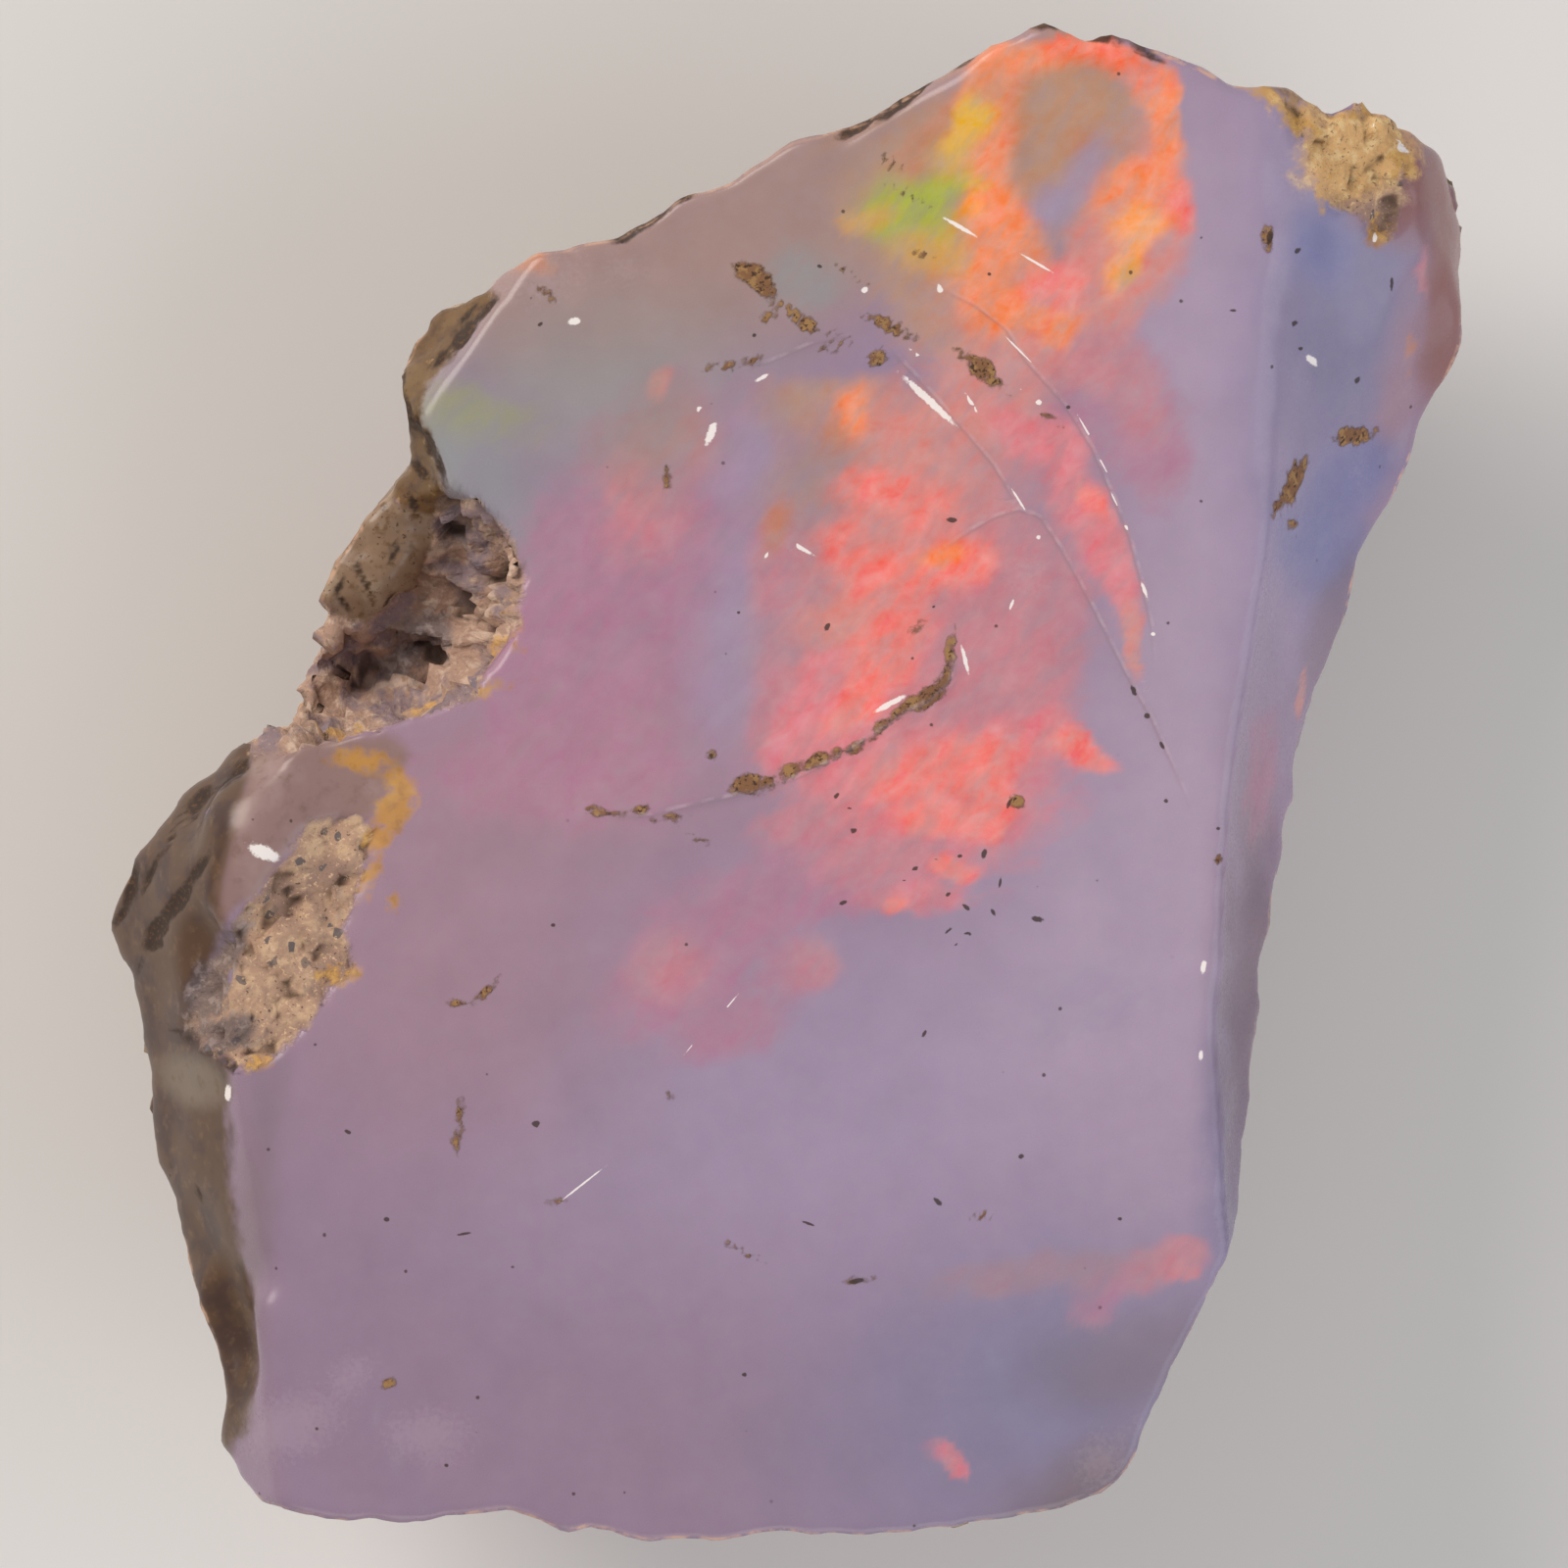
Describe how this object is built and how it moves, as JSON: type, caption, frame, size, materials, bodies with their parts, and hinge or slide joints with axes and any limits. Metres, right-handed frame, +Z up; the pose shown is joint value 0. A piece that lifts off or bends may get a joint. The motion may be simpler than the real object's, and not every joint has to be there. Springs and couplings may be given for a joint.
{
  "type": "rough precious opal",
  "caption": "Rough chip of milky precious opal with a broad fracture face, bevelled sides, a notch and host rock patches, lying on a small flat on its underside.",
  "frame": {"origin": "under the middle of the outline's box, on the plane the stone rests on", "axes": "+Z up out of the broad fracture face, +Y towards the peak of the outline, +X towards the trough"},
  "size_m": [0.0252, 0.0278, 0.01],
  "materials": {
    "milky_opal": "vitreous fracture faces, milky lilac-grey with play of colour, tan host rock patches"
  },
  "bodies": {
    "root": {"rough_opal": "milky_opal"}
  },
  "joints": []
}
